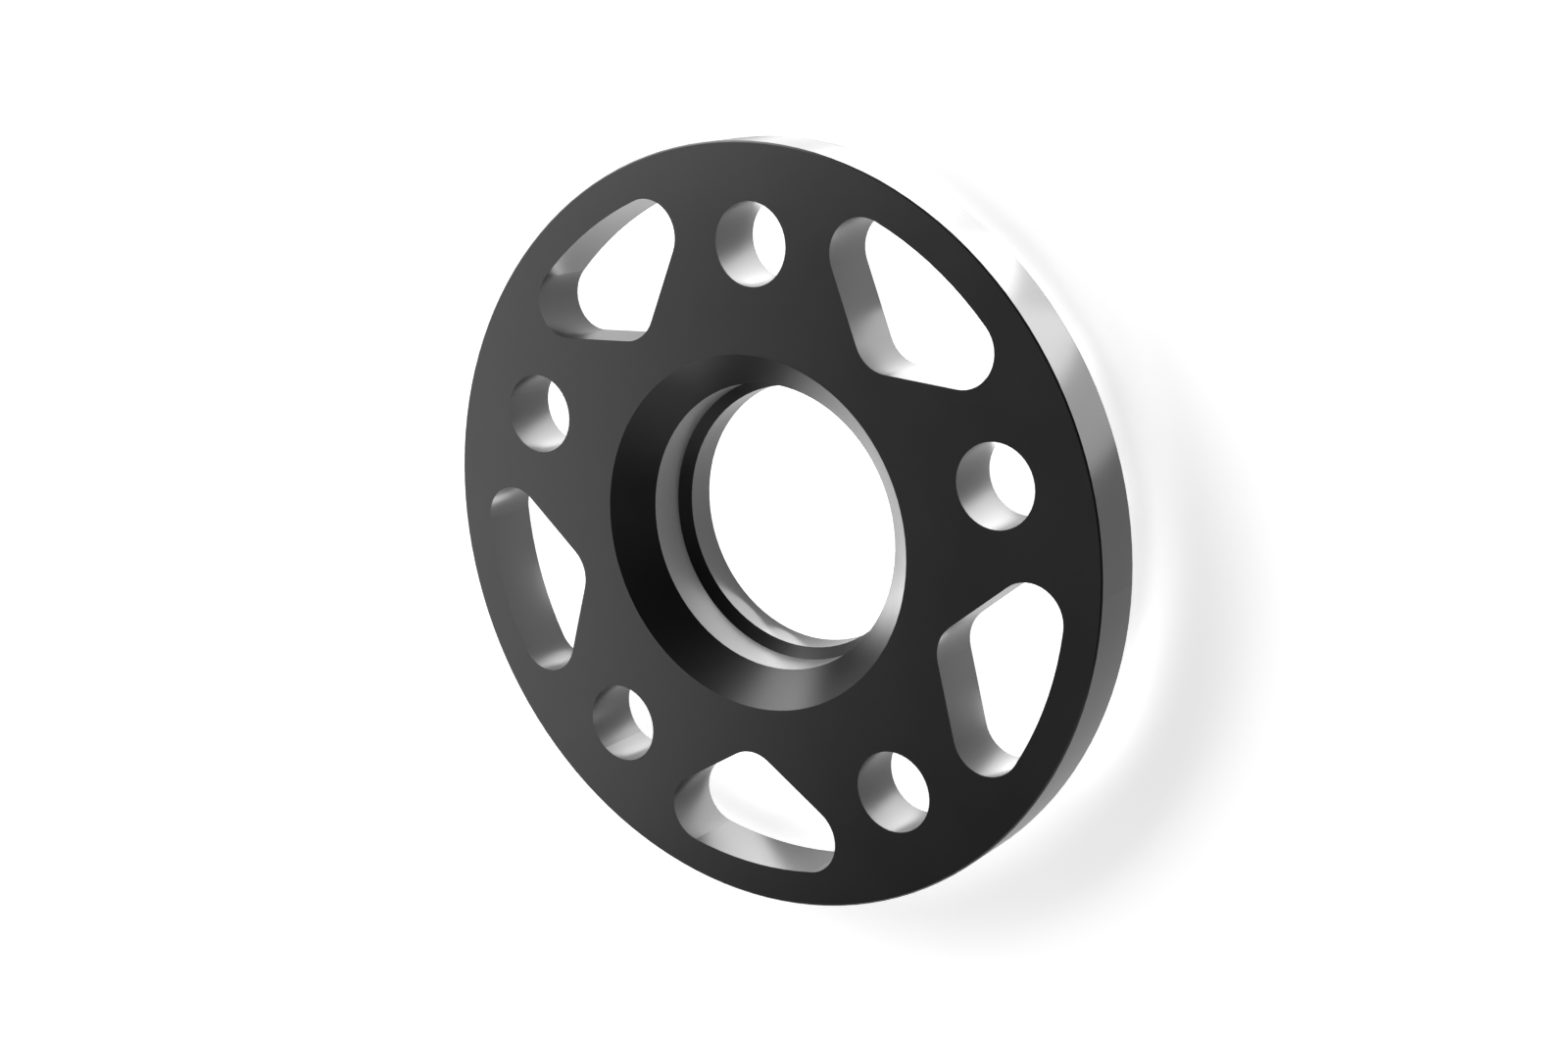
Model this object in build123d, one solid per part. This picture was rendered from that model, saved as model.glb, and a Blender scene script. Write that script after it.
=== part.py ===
"""Hub-centric wheel spacer, turned and milled from one disc of aluminium.

The part lies flat with its axis along +Z. The origin is on the axis, at the end of the lip,
which is the lowest point. The hub face is on top. All sizes are in millimetres.
"""

import os
from math import cos, radians, sin

from build123d import *

# Disc that fills the space between the hub and the wheel
disc_diameter = 150.0
disc_thickness = 12.0
rim_chamfer = 0.3

# Bolt holes, with the first one on +Y
bolt_count = 5
bolt_circle_diameter = 112.0
bolt_hole_diameter = 16.0
first_bolt_angle = 90.0

# Hub bore, which slides over the spigot of the hub; its mouth clears the root of the spigot
hub_bore_diameter = 57.1
hub_bore_depth = 14.0
mouth_chamfer = 6.5

# Shoulder at the end of the hub bore, a 45 degree cone down to the bore of the lip
bore_shoulder = 2.0

# Lip that centres the wheel, below the wheel face
lip_length = 10.0
lip_clearance = 0.05
lip_lead_in = 1.0
shoulder_wall = 3.0

# Lightening pockets, one midway between each two bolt holes
rim_width = 7.0
pocket_inner_radius = 44.5
pocket_side_angle = 57.5
pocket_corner_radius = 7.0

# Heights and radii that follow from the sizes above
wheel_face_height = lip_length
hub_face_height = lip_length + disc_thickness
disc_radius = disc_diameter / 2
hub_bore_radius = hub_bore_diameter / 2
mouth_radius = hub_bore_radius + mouth_chamfer
lip_bore_radius = hub_bore_radius - bore_shoulder
lip_radius = hub_bore_radius - lip_clearance
pocket_outer_radius = disc_radius - rim_width

# The hub bore runs on past the wheel face into the lip. A 45 degree cone at the foot of the
# lip keeps the wall there thick, parallel to the shoulder inside.
root_cone = hub_bore_depth - disc_thickness + shoulder_wall


def half_section():
    """Corners of the turned section as (radius, height), from the hub face round to the bore."""
    mouth_end = hub_face_height - mouth_chamfer
    shoulder_start = hub_face_height - hub_bore_depth
    hub_side = [
        (mouth_radius, hub_face_height),
        (disc_radius - rim_chamfer, hub_face_height),
        (disc_radius, hub_face_height - rim_chamfer),
    ]
    wheel_side = [
        (disc_radius, wheel_face_height + rim_chamfer),
        (disc_radius - rim_chamfer, wheel_face_height),
        (lip_radius + root_cone, wheel_face_height),
        (lip_radius, wheel_face_height - root_cone),
        (lip_radius, lip_lead_in),
        (lip_radius - lip_lead_in, 0),
    ]
    bore = [
        (lip_bore_radius, 0),
        (lip_bore_radius, shoulder_start - bore_shoulder),
        (hub_bore_radius, shoulder_start),
        (hub_bore_radius, mouth_end),
    ]
    return hub_side + wheel_side + bore


def turned_blank():
    """Disc, lip and stepped bore, turned as one piece."""
    with BuildPart() as blank:
        with BuildSketch(Plane.XZ):
            with BuildLine():
                Polyline(*half_section(), close=True)
            make_face()
        revolve(axis=Axis.Z)
    return blank.part


def pocket_outline():
    """Pocket on the +X axis: two straight sides and an arc along the rim, corners rounded."""
    side_slope = radians(pocket_side_angle)
    corner_setback = pocket_corner_radius / sin(side_slope) - pocket_corner_radius
    apex = pocket_inner_radius - corner_setback
    side_length = 2 * pocket_outer_radius
    side_end = (apex + side_length * cos(side_slope), side_length * sin(side_slope))
    with BuildSketch() as outline:
        Polygon((apex, 0), (side_end[0], -side_end[1]), side_end, align=None)
        Circle(pocket_outer_radius, mode=Mode.INTERSECT)
        fillet(outline.vertices(), pocket_corner_radius)
    return outline.sketch


def wheel_spacer():
    """The finished spacer: the turned blank with its bolt holes drilled and pockets milled."""
    half_pitch = 180.0 / bolt_count
    with BuildPart() as spacer:
        add(turned_blank())
        with BuildSketch(Plane.XY.offset(hub_face_height)):
            with PolarLocations(bolt_circle_diameter / 2, bolt_count, first_bolt_angle):
                Circle(bolt_hole_diameter / 2)
            with PolarLocations(0, bolt_count, first_bolt_angle + half_pitch):
                add(pocket_outline())
        extrude(amount=-disc_thickness, mode=Mode.SUBTRACT)
    return spacer.part


os.makedirs("parts", exist_ok=True)
export_step(wheel_spacer(), "parts/wheel_spacer.step")
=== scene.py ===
"""Looks of the wheel spacer: its anodised finish, a white lit table, studio lights and the camera.

Everything is in metres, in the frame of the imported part: the spacer lies on the end of its lip,
with its axis on +Z and its first bolt hole on +Y.
"""

import math

import bmesh
import bpy
from mathutils import Matrix, Vector


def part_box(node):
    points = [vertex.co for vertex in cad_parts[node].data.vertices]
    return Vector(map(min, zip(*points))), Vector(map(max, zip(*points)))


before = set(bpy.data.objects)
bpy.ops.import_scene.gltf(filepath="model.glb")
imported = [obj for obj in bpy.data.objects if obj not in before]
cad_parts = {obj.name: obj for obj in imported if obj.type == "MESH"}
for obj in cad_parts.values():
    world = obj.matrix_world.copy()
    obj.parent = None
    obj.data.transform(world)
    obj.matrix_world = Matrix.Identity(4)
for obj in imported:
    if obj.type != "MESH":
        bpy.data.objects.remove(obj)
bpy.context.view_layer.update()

MM = 0.001

# Camera, turned 35 degrees to the right of the hub face and 15 degrees towards the first bolt
# hole, so that it looks down on the lying spacer
camera_turn = 35.0
camera_rise = 15.0
camera_distance = 427.76 * MM
camera_lens = 50.0
camera_sensor = 36.0
camera_nearest = 10 * MM

# Anodised finish. Bead marks are finer than this, and are drawn as coarse as they need to show.
anodised_black = "#0c0c0c"
film_ior = 1.65
satin_roughness = 0.3
roughness_spread = 0.01
bead_mark = 0.25 * MM
bead_depth = 0.002 * MM
handling_patch = 18 * MM

# Range that most values of a noise texture lie in
noise_low = 0.3
noise_high = 0.7

# Table with a painted glow, seen straight and in reflections but lighting nothing. The painted
# glow is white under the spacer, where it paints over the spacer's shadow and brightens what the
# openings reflect, dimmer round it, so that a soft shadow stays, and white again far away.
table_white = "#f4f4f4"
table_side = 12.0
dim_glow = 0.4
painted_glow_radius = 60 * MM
dim_from = 85 * MM
dim_to = 250 * MM
white_from = 600 * MM

# White band of the backdrop, as a height on a unit sphere
horizon_top = 0.2

# How far off the soft boxes hang
box_distance = 1.1

# Pads that overlap lie one over the other by this
pad_thickness = 0.5 * MM

# Lit pads round the rim, with the level of each by its turn round the axis
rim_pad_width = 60 * MM
rim_pad_levels = {30: 1.7, 45: 3.5, 60: 4.8, 75: 3.6, 90: 1.7}

# Lit pads under the bolt holes, and how far each lies off the axis of its hole
bolt_count = 5
bolt_circle_radius = 56 * MM
first_bolt_turn = 90
hole_pad_width = 18 * MM
hole_pad_level = 5.8
off_hole = Vector((-6, 7, 0)) * MM


def linear(hex_colour):
    """An sRGB hex colour as a linear RGBA value."""
    def channel(pair):
        share = int(pair, 16) / 255
        if share <= 0.04045:
            return share / 12.92
        return ((share + 0.055) / 1.055) ** 2.4

    digits = hex_colour.lstrip("#")
    return tuple(channel(digits[i:i + 2]) for i in (0, 2, 4)) + (1.0,)


def add_node(tree, kind, settings=None, links=None):
    """One node in a node tree, with its settings and what each of its inputs is linked to."""
    node = tree.nodes.new(kind)
    for name, value in (settings or {}).items():
        if isinstance(name, int) or name in node.inputs:
            node.inputs[name].default_value = value
        else:
            setattr(node, name, value)
    for name, source in (links or {}).items():
        tree.links.new(source, node.inputs[name])
    return node


def empty_material(name):
    """A new material with no nodes in it, and its node tree."""
    material = bpy.data.materials.new(name)
    material.use_nodes = True
    material.node_tree.nodes.clear()
    return material, material.node_tree


def blasted_black_anodised_aluminium():
    """Aluminium, blasted with fine beads and anodised black.

    The dyed oxide film takes nearly all the light that goes in, so what the eye sees is the
    satin shine of its surface, with a fine even grain and slightly duller patches.
    """
    material, tree = empty_material("blasted_black_anodised_aluminium")
    place = add_node(tree, "ShaderNodeTexCoord").outputs["Object"]
    grain = add_node(
        tree,
        "ShaderNodeTexNoise",
        {"Scale": 1 / bead_mark},
        {"Vector": place},
    )
    patches = add_node(
        tree,
        "ShaderNodeTexNoise",
        {"Scale": 1 / handling_patch, "Detail": 3.0, "Roughness": 0.55},
        {"Vector": place},
    )
    dullness = add_node(
        tree,
        "ShaderNodeMapRange",
        {
            "From Min": noise_low,
            "From Max": noise_high,
            "To Min": satin_roughness - roughness_spread,
            "To Max": satin_roughness + roughness_spread,
        },
        {"Value": patches.outputs["Fac"]},
    )
    relief = add_node(
        tree,
        "ShaderNodeBump",
        {"Distance": bead_depth},
        {"Height": grain.outputs["Fac"]},
    )
    film = add_node(
        tree,
        "ShaderNodeBsdfPrincipled",
        {"Base Color": linear(anodised_black), "IOR": film_ior, "Metallic": 0.0},
        {"Roughness": dullness.outputs["Result"], "Normal": relief.outputs["Normal"]},
    )
    add_node(tree, "ShaderNodeOutputMaterial", {}, {"Surface": film.outputs["BSDF"]})
    return material


def seen_directly(tree):
    """1 for what the camera sees, straight or mirrored in metal or through glass, else 0."""
    ray = add_node(tree, "ShaderNodeLightPath").outputs
    either = add_node(
        tree,
        "ShaderNodeMath",
        {"operation": "MAXIMUM"},
        {0: ray["Is Camera Ray"], 1: ray["Is Glossy Ray"]},
    )
    any_of_them = add_node(
        tree,
        "ShaderNodeMath",
        {"operation": "MAXIMUM"},
        {0: either.outputs[0], 1: ray["Is Transmission Ray"]},
    )
    return any_of_them.outputs[0]


def painted_glow_strength(tree):
    """How strongly the table's painted glow shines at each place, where 1 is white; it is full
    under the spacer, where the table lies in shade.
    """
    place = add_node(tree, "ShaderNodeTexCoord").outputs["Object"]
    reach = add_node(tree, "ShaderNodeVectorMath", {"operation": "LENGTH"}, {0: place})
    off_centre = reach.outputs["Value"]
    # Painted light: the glow is full under the spacer, where the table would be in shade.
    under_spacer = add_node(
        tree,
        "ShaderNodeMapRange",
        {
            "interpolation_type": "SMOOTHSTEP",
            "From Min": painted_glow_radius,
            "From Max": dim_from,
            "To Min": 1.0,
            "To Max": dim_glow,
        },
        {"Value": off_centre},
    )
    far_away = add_node(
        tree,
        "ShaderNodeMapRange",
        {
            "interpolation_type": "SMOOTHSTEP",
            "From Min": dim_to,
            "From Max": white_from,
            "To Min": dim_glow,
            "To Max": 1.0,
        },
        {"Value": off_centre},
    )
    stronger = add_node(
        tree,
        "ShaderNodeMath",
        {"operation": "MAXIMUM"},
        {0: under_spacer.outputs["Result"], 1: far_away.outputs["Result"]},
    )
    return stronger.outputs[0]


def frosted_acrylic_with_painted_glow():
    """Frosted white acrylic sheet with a painted glow: plain white, white too under the spacer
    where the glow paints over the shade, and a little greyer in shadow round it.
    """
    material, tree = empty_material("frosted_acrylic_with_painted_glow")
    paint = add_node(tree, "ShaderNodeBsdfDiffuse", {"Color": linear(table_white)})
    level = add_node(
        tree,
        "ShaderNodeMath",
        {"operation": "MULTIPLY"},
        {0: painted_glow_strength(tree), 1: seen_directly(tree)},
    )
    # Painted glow, seen by the camera and in reflections only; it is no lamp.
    glow = add_node(tree, "ShaderNodeEmission", {}, {"Strength": level.outputs[0]})
    both = add_node(
        tree,
        "ShaderNodeAddShader",
        {},
        {0: paint.outputs["BSDF"], 1: glow.outputs["Emission"]},
    )
    add_node(tree, "ShaderNodeOutputMaterial", {}, {"Surface": both.outputs[0]})
    return material


def lit_table():
    """A wide flat table that the lip stands on."""
    top = bmesh.new()
    bmesh.ops.create_grid(top, x_segments=1, y_segments=1, size=table_side / 2)
    mesh = bpy.data.meshes.new("lit_table")
    top.to_mesh(mesh)
    top.free()
    mesh.materials.append(frosted_acrylic_with_painted_glow())
    table = bpy.data.objects.new("lit_table", mesh)
    bpy.context.scene.collection.objects.link(table)


def studio_world():
    """White round the horizon and to the camera, dark overhead, where the soft boxes hang."""
    world = bpy.data.worlds.new("studio_world")
    bpy.context.scene.world = world
    world.use_nodes = True
    tree = world.node_tree
    tree.nodes.clear()
    direction = add_node(tree, "ShaderNodeTexCoord").outputs["Generated"]
    height = add_node(tree, "ShaderNodeSeparateXYZ", {}, {"Vector": direction}).outputs["Z"]
    band = add_node(
        tree,
        "ShaderNodeMapRange",
        {
            "interpolation_type": "SMOOTHSTEP",
            "From Min": horizon_top,
            "From Max": 0.0,
            "To Min": 0.0,
            "To Max": 1.0,
        },
        {"Value": height},
    )
    camera_ray = add_node(tree, "ShaderNodeLightPath").outputs["Is Camera Ray"]
    level = add_node(
        tree,
        "ShaderNodeMath",
        {"operation": "MAXIMUM"},
        {0: band.outputs["Result"], 1: camera_ray},
    )
    light = add_node(tree, "ShaderNodeBackground", {}, {"Strength": level.outputs[0]})
    add_node(tree, "ShaderNodeOutputWorld", {}, {"Surface": light.outputs["Background"]})


def direction_to(turn, rise):
    """The unit vector that points turn degrees round from +X and rise degrees up."""
    around, up = math.radians(turn), math.radians(rise)
    return Vector((math.cos(around) * math.cos(up), math.sin(around) * math.cos(up), math.sin(up)))


def hang(name, lamp, aim, turn, rise, distance):
    """Hangs a lamp at a distance from a place, facing it and out of the camera's sight."""
    hung = bpy.data.objects.new(name, lamp)
    bpy.context.scene.collection.objects.link(hung)
    toward = direction_to(turn, rise)
    turned = toward.to_track_quat("Z", "Y").to_matrix().to_4x4()
    turned.translation = Vector(aim) + toward * distance
    hung.matrix_world = turned
    hung.visible_camera = False


def lamp_power(level, area):
    """Power of a flat lamp that, at a level of 1, looks as bright as lit white paper."""
    return level * math.pi * area


def soft_box(name, turn, rise, wide, tall, level):
    """A soft box that faces the spacer, wide and tall in degrees as the spacer sees it."""
    lamp = bpy.data.lights.new(name, "AREA")
    lamp.shape = "RECTANGLE"
    lamp.size = 2 * box_distance * math.tan(math.radians(wide / 2))
    lamp.size_y = 2 * box_distance * math.tan(math.radians(tall / 2))
    lamp.energy = lamp_power(level, lamp.size * lamp.size_y)
    hang(name, lamp, (0, 0, 0), turn, rise, box_distance)


def lit_pad(name, place, width, level, layer):
    """A round lit pad that lies on the table at a place and shines up.

    Pads that overlap lie in layers, counted from the table.
    """
    lamp = bpy.data.lights.new(name, "AREA")
    lamp.shape = "DISK"
    lamp.size = width
    lamp.energy = lamp_power(level, math.pi * (width / 2) ** 2)
    height = Vector((0, 0, layer * pad_thickness))
    hang(name, lamp, place + height, turn=0, rise=-90, distance=0)


def rim_pads():
    """Lit pads in an arc round the rim.

    Each overlaps the next, and the middle one is the strongest, so that their light on the rim
    fades to both sides.
    """
    arc_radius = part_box("wheel_spacer")[1].x + rim_pad_width / 2
    for count, (turn, level) in enumerate(rim_pad_levels.items(), 1):
        place = direction_to(turn, 0) * arc_radius
        lit_pad(f"rim_pad_{count}", place, rim_pad_width, level, layer=count)


def hole_pads():
    """A lit pad under each bolt hole, to brighten its wall at the bottom of the picture."""
    for count in range(bolt_count):
        turn = first_bolt_turn + count * 360 / bolt_count
        place = direction_to(turn, 0) * bolt_circle_radius + off_hole
        lit_pad(f"hole_pad_{count + 1}", place, hole_pad_width, hole_pad_level, layer=1)


def opening_pads():
    """Lit pads under the lip, the bore and four pockets, to brighten the same walls there.

    The pockets are named as they lie in the picture.
    """
    lit_pad("lip_pad", Vector((-5, -20, 0)) * MM, 11 * MM, level=3.0, layer=2)
    lit_pad("bore_pad", Vector((-10, -15, 0)) * MM, 16 * MM, level=3.6, layer=3)
    lit_pad("left_pocket_pad", Vector((-62, -24, 0)) * MM, 12 * MM, level=4.4, layer=4)
    lit_pad("bottom_pocket_pad", Vector((-15, -56, 0)) * MM, 16 * MM, level=4.0, layer=5)
    lit_pad("right_pocket_pad", Vector((44, -32, 0)) * MM, 12 * MM, level=4.8, layer=6)
    lit_pad("top_right_pocket_pad", Vector((29, 35, 0)) * MM, 24 * MM, level=3.0, layer=7)


def studio_lights():
    """Soft boxes round the spacer, and lit pads on the table."""
    soft_box("key", turn=143, rise=46, wide=44, tall=24, level=4.7)
    soft_box("key_low", turn=140, rise=20, wide=30, tall=24, level=3.2)
    soft_box("top", turn=-52, rise=71, wide=28, tall=24, level=6.0)
    soft_box("left", turn=198, rise=38, wide=30, tall=22, level=1.7)
    soft_box("back_strip", turn=130, rise=6, wide=40, tall=12, level=3.2)
    soft_box("side_strip", turn=182, rise=8, wide=30, tall=12, level=3.0)
    soft_box("front_strip", turn=-62, rise=16, wide=50, tall=24, level=0.45)
    soft_box("front_low", turn=-105, rise=7, wide=40, tall=12, level=0.75)
    rim_pads()
    hole_pads()
    opening_pads()


def photo_camera():
    """The camera, aimed at the middle of the spacer's box."""
    turn, rise = math.radians(camera_turn), math.radians(camera_rise)
    right = Vector((math.cos(turn), 0, -math.sin(turn)))
    level_back = Vector((math.sin(turn), 0, math.cos(turn)))
    back = level_back * math.cos(rise) + Vector((0, math.sin(rise), 0))
    stand = Matrix((right, back.cross(right), back)).transposed().to_4x4()
    lowest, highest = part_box("wheel_spacer")
    stand.translation = (lowest + highest) / 2 + back * camera_distance
    lens = bpy.data.cameras.new("camera")
    lens.lens = camera_lens
    lens.sensor_width = camera_sensor
    lens.clip_start = camera_nearest
    camera = bpy.data.objects.new("camera", lens)
    camera.matrix_world = stand
    bpy.context.scene.collection.objects.link(camera)
    bpy.context.scene.camera = camera


def finish_spacer():
    """The anodised finish on the whole spacer, which is one piece."""
    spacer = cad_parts["wheel_spacer"]
    finish = blasted_black_anodised_aluminium()
    for slot in spacer.material_slots:
        slot.material = finish


bpy.context.scene.view_settings.view_transform = "Standard"
finish_spacer()
lit_table()
studio_world()
studio_lights()
photo_camera()
